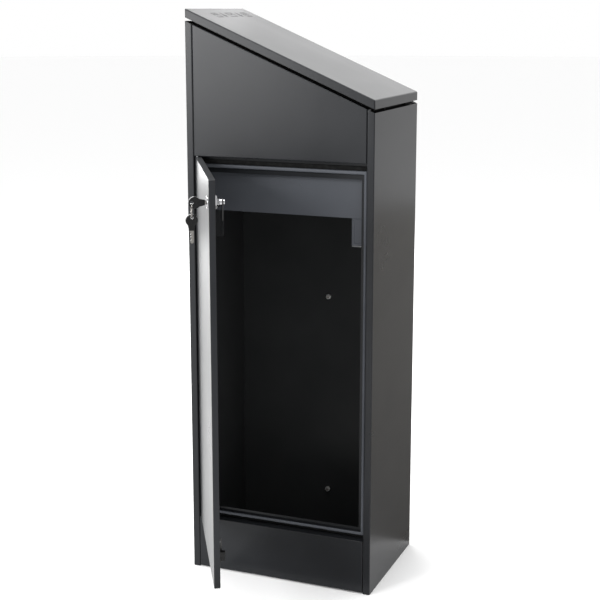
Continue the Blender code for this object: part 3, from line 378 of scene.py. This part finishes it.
# %% Plastic and rubber
def moulded(name, colour, worn, roughness, depth, ior=1.5):
    material, tree, shader, where = start_material(name, 0.0)
    grain = noise(tree, where, 2200.0, 3.0, 0.6)
    rubbed = ramp(tree, noise(tree, where, 90.0, 3.0, 0.6), 0.45, 0.70)
    feed(tree, shader.inputs["Base Color"], blend_colour(tree, rubbed, colour, worn))
    feed(tree, shader.inputs["Roughness"], roughness - rubbed * 0.15)
    add_bump(tree, shader, grain, depth)
    shader.inputs["IOR"].default_value = ior
    return material


KEY_BLACK = moulded("key_black", (0.003, 0.003, 0.0032, 1), (0.006, 0.006, 0.006, 1), 0.28, 0.00003, 1.3)
BLACK_STEEL = moulded("black_steel", (0.012, 0.012, 0.012, 1), (0.022, 0.021, 0.020, 1), 0.42, 0.00001)
RUBBER = moulded("rubber", (0.005, 0.005, 0.005, 1), (0.009, 0.009, 0.0088, 1), 0.85, 0.00003, 1.2)
print("plastic and rubber made")

# %% [markdown]
# ## Tools for edit mode
#
# The same few moves come back for every piece: put one object in focus, pick edges or faces by where
# they are and which way they look, and act on them. Picking by place keeps the script readable and
# survives small changes of the model, which stored numbers of vertices would not.

# %% Tools for edit mode
def focus(piece):
    bpy.ops.object.select_all(action="DESELECT")
    piece.select_set(True)
    bpy.context.view_layer.objects.active = piece


def slot_of(name):
    rows = [row for row in frame["record"]["subparts"] if row["node"] == name]
    return rows[0]["material_slot"]


def body_of_node(name):
    bodies = frame["record"]["behaviour"]["bodies"]
    return [body for body, nodes in bodies.items() if name in nodes][0]


def cleaned_copy(name):
    """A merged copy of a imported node: loose triangles become whole flat faces."""
    mesh = bpy.data.objects[name].data.copy()
    mesh.name = f"{name}_formed"
    piece = bpy.data.objects.new(f"{name}_formed", mesh)
    bpy.context.collection.objects.link(piece)
    focus(piece)
    bpy.ops.object.mode_set(mode="EDIT")
    bpy.ops.mesh.select_all(action="SELECT")
    bpy.ops.mesh.remove_doubles(threshold=0.02 * MM)
    bpy.ops.mesh.dissolve_limited(angle_limit=math.radians(0.5))
    bpy.ops.mesh.normals_make_consistent(inside=False)
    bpy.ops.object.mode_set(mode="OBJECT")
    return piece


def face_width(face):
    """Area over the longest edge: how narrow a face is."""
    return face.calc_area() / max(edge.calc_length() for edge in face.edges)


def bevel_where(piece, wanted, width, segments):
    """Select the edges that `wanted` picks and bevel them; returns how many there were."""
    focus(piece)
    bpy.ops.object.mode_set(mode="EDIT")
    bpy.ops.mesh.select_mode(type="EDGE")
    bpy.ops.mesh.select_all(action="DESELECT")
    shell = bmesh.from_edit_mesh(piece.data)
    picked = [edge for edge in shell.edges if len(edge.link_faces) == 2 and wanted(edge)]
    for edge in picked:
        edge.select_set(True)
    bmesh.update_edit_mesh(piece.data)
    if picked:
        bpy.ops.mesh.bevel(offset=width, segments=segments, affect="EDGES", clamp_overlap=True)
    bpy.ops.object.mode_set(mode="OBJECT")
    return len(picked)


def apply_modifier(piece, kind, **settings):
    step = piece.modifiers.new(kind.lower(), kind)
    for key, value in settings.items():
        setattr(step, key, value)
    focus(piece)
    bpy.ops.object.modifier_apply(modifier=step.name)


def stands_for(piece, name):
    """Give a piece the finish and the body of the node that it replaces, and hide that node."""
    piece.data.materials.clear()
    piece.data.materials.append(finish_of(name))
    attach(piece, body_of_node(name))
    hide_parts(name)
    slot_of(name)


def finish_piece(piece, name, burr):
    """Break the edges that are left, smooth the rounds, keep flats flat, and hand the piece over."""
    apply_modifier(piece, "BEVEL", width=burr, segments=2, limit_method="ANGLE",
                   angle_limit=math.radians(40), use_clamp_overlap=True)
    bpy.ops.object.shade_smooth_by_angle(angle=math.radians(28))
    apply_modifier(piece, "WEIGHTED_NORMAL", keep_sharp=True)
    stands_for(piece, name)


print("tools ready")

# %% [markdown]
# ## Dressing the imported nodes
#
# Every node gets the finish of its own trade: paint on the sheets, zinc on the hinges and the small
# nuts, chrome on the lock. The imported meshes keep their shape and only change material. Some sheets
# wear a lighter or a darker coat than the cabinet, as painted light and painted shade: the guard plate
# and the bracket on the low side are light, which is painted light in the opening; the bracket on the
# high side is darker, which is painted shade; the collar is near black, which is painted shade under
# the lid. The two brackets are a mirrored pair and would leave one spray booth in one colour.

# %% Dressing the imported nodes
FINISHES = {
    "dark_powder_coat": PAINTED, "satin_strip": SATIN_STRIP, "zinc_steel": ZINC, "chrome": CHROME,
    "key_steel": KEY_NICKEL, "black_plastic": KEY_BLACK, "rubber": RUBBER, "black_steel": BLACK_STEEL,
}
# These nodes get the inside coat, which is painted light; on the high-side bracket it is also painted shade beside
# the lighter low-side bracket.
INSIDE_NODES = ("floor_plate", "guard_bracket_high", "door_lock_channel", "door_stiffener")
# These nodes wear the much lighter coat, which is painted light.
PAINTED_LIGHT_NODES = ("chute_guard_plate", "guard_bracket_low")


def finish_of(name):
    # The collar's near-black coat is painted shade for the gap under the lid.
    if name == "top_collar":
        return PAINTED_SHADE_COAT
    if name in PAINTED_LIGHT_NODES:
        return PAINTED_LIGHT_COAT
    # The small nuts' lighter zinc is painted sheen.
    if name.startswith("trim_nut"):
        return ZINC_PAINTED_SHEEN
    return PAINTED_LIGHT_INSIDE if name in INSIDE_NODES else FINISHES[slot_of(name)]


for node_name in sorted(frame["nodes"]):
    node_mesh = bpy.data.objects[node_name].data
    node_mesh.materials.clear()
    node_mesh.materials.append(finish_of(node_name))
print("dressed", len(frame["nodes"]), "nodes")

# %% [markdown]
# ## Folded edges
#
# A press brake can't fold sheet to a sharp corner: the outside of each fold is a small radius, and the
# bright line along that radius is what makes sheet metal look like sheet metal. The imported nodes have
# sharp folds, so the sheets that show are copied, cleaned and bevelled. A fold is found as a convex
# corner between two wide faces. A cut edge has a face as narrow as the sheet is thick on one side, and
# it only loses its burr.

# %% Folded edges
SHEET = 1.5 * MM
BURR = 0.2 * MM
NARROW = 1.8 * SHEET


def is_corner(edge):
    return edge.calc_face_angle() > math.radians(20) and edge.is_convex


def is_fold(edge):
    return is_corner(edge) and min(face_width(face) for face in edge.link_faces) > NARROW


def fold_sheet(name, radius):
    piece = cleaned_copy(name)
    folds = bevel_where(piece, is_fold, radius, 5)
    finish_piece(piece, name, BURR)
    print(name, "-", folds, "folds rounded to", round(radius / MM, 1), "mm")
    return piece


FOLD_RADII = {
    "low_side_panel": 2.0, "high_side_panel": 2.0, "lid_shell": 2.6, "door_shell": 1.8,
    "rear_top_panel": 1.6, "rear_plinth_panel": 1.6, "door_frame": 2.8, "letter_flap": 0.8,
    "top_collar": 1.5, "floor_plate": 1.6, "catch_bracket": 1.5, "door_lock_channel": 1.5,
    "door_stiffener": 1.5, "letter_flap_housing": 1.2,
}
sheets = {name: fold_sheet(name, radius * MM) for name, radius in FOLD_RADII.items()}

# %% [markdown]
# ## Flat sheets
#
# The front panel, the satin strip and the guard plate are flat, so they have no folds at all. Their
# laser-cut edges are broken with a fine bevel, and the strip gets the widest one because its two long
# edges are polished by hand.

# %% Flat sheets
for sheet_name, edge_break in (("front_panel", 0.2), ("front_trim_strip", 0.3), ("chute_guard_plate", 0.25),
                               ("guard_bracket_low", 0.25), ("guard_bracket_high", 0.25)):
    sheets[sheet_name] = cleaned_copy(sheet_name)
    finish_piece(sheets[sheet_name], sheet_name, edge_break * MM)
print("flat sheets finished")

# %% [markdown]
# ## The inside's painted light
#
# The faces inside the well get a lighter, duller copy of the coat: painted light for the light that
# reaches into the well. The faces that look inwards are picked by their normals and get that coat as a
# second material.

# %% The inside's painted light
def paint_inside_light(name, inward):
    """Faces of a sheet that look along `inward` get the inside coat, which is painted light."""
    mesh = sheets[name].data
    mesh.materials.append(PAINTED_LIGHT_INSIDE)
    lined = 0
    for face in mesh.polygons:
        if face.normal.dot(Vector(inward)) > 0.7:
            face.material_index = 1
            lined += 1
    return lined


for sheet_name, inward in (("low_side_panel", (1, 0, 0)), ("high_side_panel", (-1, 0, 0)),
                           ("front_panel", (0, 1, 0)), ("rear_top_panel", (0, -1, 0))):
    print(sheet_name, "lined faces:", paint_inside_light(sheet_name, inward))

# %% [markdown]
# ## The bead's crown
#
# A raised bead runs round the door opening, and its crown shows as a light line. The soft lamps here
# don't draw that line by themselves, so the crown's faces, picked by height and normal, get a lighter
# coat in its place. It is a choice of looks: nothing says that the bead is painted differently.

# %% The bead's crown
CROWN_DEPTH = 3.2 * MM


def lighten_crown():
    mesh = sheets["door_frame"].data
    mesh.materials.append(PAINTED_LIGHT_COAT)
    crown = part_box("door_frame")[1][1]
    lightened = 0
    for face in mesh.polygons:
        if face.center.y > crown - CROWN_DEPTH and face.normal.y > 0.25:
            face.material_index = 1
            lightened += 1
    return lightened


print("crown faces:", lighten_crown())

# %% [markdown]
# ## The door seal and the groove's painted shade
#
# A black band, shaped as a foam seal, lies in the frame's groove outside the raised bead; its black is
# also painted shade for the groove under the top panel's edge. It is one loop: an inner and an outer
# rectangle are bridged into a flat band, and the band is extruded towards the door. The corners come out
# mitred, as a fitter cuts them.

# %% The door seal
GROOVE = 0.120
SHADE_SEAL_THICKNESS = 3.5 * MM
SHADE_SEAL_INNER = (0.1815, 0.1205, 0.8715)  # half width, bottom, top
SHADE_SEAL_OUTER = (0.1845, 0.1165, 0.8800)


def rectangle(half_width, bottom, top, y):
    return [(-half_width, y, bottom), (half_width, y, bottom), (half_width, y, top), (-half_width, y, top)]


def piece_from(name, verts, edges=(), faces=()):
    mesh = bpy.data.meshes.new(name)
    mesh.from_pydata([tuple(vert) for vert in verts], list(edges), list(faces))
    piece = bpy.data.objects.new(name, mesh)
    bpy.context.collection.objects.link(piece)
    return piece


def edit_all(piece):
    focus(piece)
    bpy.ops.object.mode_set(mode="EDIT")
    bpy.ops.mesh.select_all(action="SELECT")


# The black band stands in for a seal and for the shade in the groove.
def add_shade_seal():
    loop = [(i, (i + 1) % 4) for i in range(4)]
    verts = rectangle(*SHADE_SEAL_INNER, GROOVE + 0.2 * MM) + rectangle(*SHADE_SEAL_OUTER, GROOVE + 0.2 * MM)
    seal = piece_from("door_shade_seal", verts, loop + [(a + 4, b + 4) for a, b in loop])
    edit_all(seal)
    bpy.ops.mesh.bridge_edge_loops()
    bpy.ops.mesh.select_all(action="SELECT")
    bpy.ops.mesh.extrude_region_move(TRANSFORM_OT_translate={"value": (0, SHADE_SEAL_THICKNESS, 0)})
    bpy.ops.mesh.select_all(action="SELECT")
    bpy.ops.mesh.normals_make_consistent(inside=False)
    bpy.ops.object.mode_set(mode="OBJECT")
    apply_modifier(seal, "BEVEL", width=0.8 * MM, segments=3, limit_method="ANGLE",
                   angle_limit=math.radians(60), use_clamp_overlap=True)
    bpy.ops.object.shade_smooth_by_angle(angle=math.radians(40))
    seal.data.materials.append(RUBBER)
    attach(seal, "housing")
    return seal


add_shade_seal()
print("door seal laid")

# %% [markdown]
# ## Turned parts
#
# Everything round on a lock comes off a lathe, and a lathe part is a profile spun round an axis. The
# profile is a handful of points (radius, distance along the axis); a closed profile leaves a bore. A
# nut is turned too, as a chamfered disc, and then six flats are cut off it, which is why the chamfer
# meets each flat in a curve.

# %% Turned parts
def lathe(name, profile, place, axis, steps=56, closed=False):
    axis = Vector(axis).normalized()
    side = axis.orthogonal().normalized()
    verts = [Vector(place) + axis * along * MM + side * radius * MM for radius, along in profile]
    count = len(verts)
    edges = [(i, i + 1) for i in range(count - 1)] + ([(count - 1, 0)] if closed else [])
    piece = piece_from(name, verts, edges)
    edit_all(piece)
    bpy.ops.mesh.spin(steps=steps, angle=2 * math.pi, center=place, axis=axis)
    bpy.ops.mesh.select_all(action="SELECT")
    bpy.ops.mesh.remove_doubles(threshold=0.002 * MM)
    bpy.ops.mesh.normals_make_consistent(inside=False)
    bpy.ops.object.mode_set(mode="OBJECT")
    return piece


def hex_nut(name, place, axis, across, height, bore):
    """A nut whose foot is at `place`; sizes in mm."""
    corner = across / math.sqrt(3)
    rise = (corner - across / 2) * 0.6
    disc = [(bore + 0.3, 0), (across / 2, 0), (corner, rise), (corner, height - rise), (across / 2, height),
            (bore + 0.4, height), (bore, height - 0.4), (bore, 0.3)]
    nut = lathe(name, disc, place, axis, 48, closed=True)
    axis = Vector(axis).normalized()
    edit_all(nut)
    for turn in range(6):
        outward = axis.orthogonal().normalized()
        outward.rotate(Quaternion(axis, math.radians(30 + 60 * turn)))
        bpy.ops.mesh.select_all(action="SELECT")
        bpy.ops.mesh.bisect(plane_co=Vector(place) + outward * across / 2 * MM, plane_no=outward,
                            clear_outer=True, use_fill=True)
    bpy.ops.mesh.select_all(action="SELECT")
    bpy.ops.mesh.normals_make_consistent(inside=False)
    bpy.ops.object.mode_set(mode="OBJECT")
    return nut


def hand_over(piece, name):
    focus(piece)
    bpy.ops.object.shade_smooth_by_angle(angle=math.radians(30))
    stands_for(piece, name)


def joint_of(name):
    row = [joint for joint in frame["joints"] if joint["name"] == name][0]
    return Vector(row["pos_m"]), Vector(row["axis"]).normalized()


# %% [markdown]
# ## The cam lock
#
# The bezel is a low dome with a step round the plug. The barrel behind it is threaded for the nut, and
# the thread is only drawn where it shows, beyond the door's rim. Rings stand in for the helix: at this
# size nobody can tell, and rings keep the mesh light.

# %% The cam lock
lock_place, lock_out = joint_of("lock_turn")
THREAD = [(radius, -20.6 + 0.5 * i) for i, radius in enumerate([8.0, 7.65] * 8)]
BEZEL = [(8.0, -12.4), (8.0, 0.3), (12.0, 0.3), (12.0, 1.0), (11.8, 1.5), (11.2, 2.0), (10.3, 2.35),
         (9.3, 2.5), (8.8, 2.4), (8.6, 2.1), (6.5, 2.1), (6.25, 1.9)]
BODY = [(6.25, -21.0), (7.6, -21.0)] + THREAD + BEZEL
hand_over(lathe("lock_body_formed", BODY, lock_place, lock_out, 64, closed=True), "lock_body")
NUT_BACK = 16.5 * MM
nut_place = lock_place - lock_out * NUT_BACK
hand_over(hex_nut("lock_nut_formed", nut_place, lock_out, 21, 4.5, 8.25), "lock_nut")
for name, edge_break in (("lock_plug", 0.25), ("lock_cam", 0.3), ("cam_screw", 0.4), ("catch_magnet", 0.5),
                         ("door_hinge_block_top", 0.4), ("door_hinge_block_bottom", 0.4),
                         ("catch_screw", 0.2), ("lid_buffer_1", 0.5), ("lid_buffer_2", 0.5)):
    finish_piece(cleaned_copy(name), name, edge_break * MM)
print("lock turned, nut cut")

# %% [markdown]
# ## Six nuts on the strip's studs
#
# The satin strip is held from behind by six nuts. One is modelled and copied; each copy is moved in its
# own mesh, so every object still sits at the origin.

# %% Six nuts on the strip's studs
def node_middle(name):
    low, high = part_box(name)
    return (Vector(low) + Vector(high)) / 2


master = hex_nut("trim_nut_master", (0, 0, 0), (0, 1, 0), 10, 5, 3.1)
for number in range(1, 7):
    name = f"trim_nut_{number}"
    nut = master.copy()
    nut.data = master.data.copy()
    nut.name = nut.data.name = f"{name}_formed"
    bpy.context.collection.objects.link(nut)
    nut.data.transform(Matrix.Translation(node_middle(name) - Vector((0, 2.5 * MM, 0))))
    hand_over(nut, name)
bpy.data.objects.remove(master)
print("six nuts placed")

# %% [markdown]
# ## Keys and ring
#
# The key heads are moulded, so all their edges are round. The spare key shows its cuts: its outline is
# drawn once, with a notch for each pin of the lock, and extruded to the thickness of the blade. The
# ring is a split ring; two wires lie side by side in it, so the profile that is spun is a figure eight.

# %% Keys and ring
for name in ("key_head", "spare_key_head"):
    finish_piece(cleaned_copy(name), name, 0.7 * MM)
finish_piece(cleaned_copy("key_blade"), "key_blade", 0.25 * MM)

ring_place, ring_axis = joint_of("key_ring_swing")
RING_RADIUS = 13
WIRE_RADIUS = 0.5
WIRE_OFFSET = 0.42
eight = []
for side, start in ((1, -60), (-1, 120)):
    for step in range(13):
        angle = math.radians(start + 300 * step / 12)
        radius = RING_RADIUS + WIRE_RADIUS * math.cos(angle)
        eight.append((radius, side * WIRE_OFFSET + WIRE_RADIUS * math.sin(angle)))
ring_middle = ring_place - Vector((0, 0, RING_RADIUS * MM))
ring = lathe("key_ring_formed", eight, ring_middle, ring_axis, 72, closed=True)
hand_over(ring, "key_ring")

spare_place, spare_axis = joint_of("spare_key_swing")
CUTS = (3.5, 3.5, 1.9, 1.9, 2.9, 1.6, 1.6, 2.6, 2.6, 1.3, 1.3, 2.4, 2.4, 3.0)


def spare_blade():
    """Outline of the blade in its own plane (down, across), notched along one edge, then extruded."""
    down = Vector((0, 0, -1))
    across = lock_out
    low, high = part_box("spare_key_blade")
    length = high[2] - low[2]
    start = Vector((spare_place.x, spare_place.y, high[2]))
    outline = [(0, -3.5), (length / MM - 2, -3.5), (length / MM, -1.2), (length / MM, 1.2)]
    shoulder = length / MM - 2
    outline += [(shoulder - 1.55 * i, depth) for i, depth in enumerate(reversed(CUTS))]
    outline += [(0, 3.5)]
    points = [start + down * u * MM + across * v * MM - spare_axis * MM for u, v in outline]
    blade = piece_from("spare_key_blade_formed", points, faces=[list(range(len(points)))])
    edit_all(blade)
    bpy.ops.mesh.extrude_region_move(TRANSFORM_OT_translate={"value": spare_axis * 2 * MM})
    bpy.ops.mesh.select_all(action="SELECT")
    bpy.ops.mesh.normals_make_consistent(inside=False)
    bpy.ops.object.mode_set(mode="OBJECT")
    return blade


finish_piece(spare_blade(), "spare_key_blade", 0.15 * MM)
print("keys and ring made")

# %% [markdown]
# ## A plug weld on the guard plate
#
# The guard plate is held to the housing's brace by one plug weld, which shows as a shallow button. It
# is too small to be worth a bevelled disc, so it is spun as a dome like the other round parts.

# %% A plug weld on the guard plate
WELD_ACROSS = -0.031
WELD_HEIGHT = 0.834
plate_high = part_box("chute_guard_plate")[1]
BUTTON = [(0, 0.7), (0.9, 0.66), (1.7, 0.5), (2.2, 0.25), (2.4, 0), (0, 0)]
button = lathe("guard_plug_weld", BUTTON, (WELD_ACROSS, plate_high[1], WELD_HEIGHT), (0, 1, 0), 32)
focus(button)
bpy.ops.object.shade_smooth_by_angle(angle=math.radians(40))
# The button wears the guard plate's much lighter coat, which is painted light.
button.data.materials.append(PAINTED_LIGHT_COAT)
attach(button, "housing")
print("plug weld made")

# %% [markdown]
# ## Pictograms
#
# The lid's high end and the foot of the front are printed with small generic signs: a parcel, an
# arrow and a letter. Each sign is a flat curve whose inner outlines cut holes, which is how a
# sign-maker's plotter sees it; the curve is turned into a mesh and laid on the metal a twentieth of
# a millimetre proud, like a coat of ink.

# %% Pictograms
INK, ink_tree, ink_shader, ink_where = start_material("sign_ink", 0.0)
ink_tone = ramp(ink_tree, noise(ink_tree, ink_where, 300.0, 3.0, 0.6), 0.3, 0.7)
feed(ink_tree, ink_shader.inputs["Base Color"],
     blend_colour(ink_tree, ink_tone, (0.010, 0.010, 0.011, 1), (0.020, 0.020, 0.021, 1)))
ink_shader.inputs["Roughness"].default_value = 0.6

PARCEL = [[(0, 0), (26, 0), (26, 22), (0, 22)],
          [(2, 2), (12, 2), (12, 13), (2, 13)], [(14, 2), (24, 2), (24, 13), (14, 13)],
          [(2, 15), (9, 15), (9, 20), (2, 20)], [(17, 15), (24, 15), (24, 20), (17, 20)],
          [(11, 15), (15, 15), (15, 20), (11, 20)]]
ARROW = [[(6, 0), (14, 9), (8.5, 9), (8.5, 22), (3.5, 22), (3.5, 9), (-2, 9)]]
LETTER = [[(0, 2), (32, 2), (32, 22), (0, 22)],
          [(4.5, 20), (27.5, 20), (16, 11.5)],
          [(2, 4), (30, 4), (30, 19.2), (16, 8.8), (2, 19.2)]]


def sign(name, outlines, place, right, up, body):
    """Lay flat outlines (mm) on a surface; `right` and `up` are unit vectors in that surface."""
    curve = bpy.data.curves.new(name, "CURVE")
    curve.dimensions = "2D"
    curve.fill_mode = "BOTH"
    curve.extrude = 0.03 * MM
    for outline in outlines:
        line = curve.splines.new("POLY")
        line.points.add(len(outline) - 1)
        line.use_cyclic_u = True
        for point, (x, y) in zip(line.points, outline):
            point.co = (x * MM, y * MM, 0, 1)
    flat = bpy.data.objects.new(name, curve)
    bpy.context.collection.objects.link(flat)
    focus(flat)
    bpy.ops.object.convert(target="MESH")
    flat = bpy.context.object
    right = Vector(right).normalized()
    up = Vector(up).normalized()
    normal = right.cross(up)
    turn = Matrix((right, up, normal)).transposed().to_4x4()
    flat.data.transform(Matrix.Translation(Vector(place) + normal * 0.05 * MM) @ turn)
    edit_all(flat)
    bpy.ops.mesh.remove_doubles(threshold=0.001 * MM)
    bpy.ops.mesh.normals_make_consistent(inside=False)
    bpy.ops.object.mode_set(mode="OBJECT")
    flat.data.materials.append(INK)
    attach(flat, body)
    return flat


LID_FALL = 0.171
LID_RUN = 0.4
SLOPE = LID_FALL / LID_RUN
LID_LOW = 1.009
LID_UP = Vector((1, 0, SLOPE)).normalized()


def on_lid(x, y):
    return Vector((x, y, LID_LOW + SLOPE * (x + LID_RUN / 2)))


LID_SIGNS = (("parcel", PARCEL, 0.070), ("arrow", ARROW, 0.030), ("letter", LETTER, 0.002),
             ("arrow_two", ARROW, -0.046), ("parcel_two", PARCEL, -0.075))
LID_SIGN_FOOT = 0.158
for name, outlines, y in LID_SIGNS:
    sign(f"lid_sign_{name}", outlines, on_lid(LID_SIGN_FOOT, y), (0, -1, 0), LID_UP, "lid")

FRONT_SIGNS = (("letter", LETTER, 0.046), ("parcel", PARCEL, 0.086), ("arrow", ARROW, 0.124))
FRONT_SIGN_FOOT = 0.058
FRONT_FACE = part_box("front_panel")[0][1]
for name, outlines, x in FRONT_SIGNS:
    sign(f"front_sign_{name}", outlines, Vector((x, FRONT_FACE, FRONT_SIGN_FOOT)), (1, 0, 0), (0, 0, 1),
         "housing")
print("signs printed")
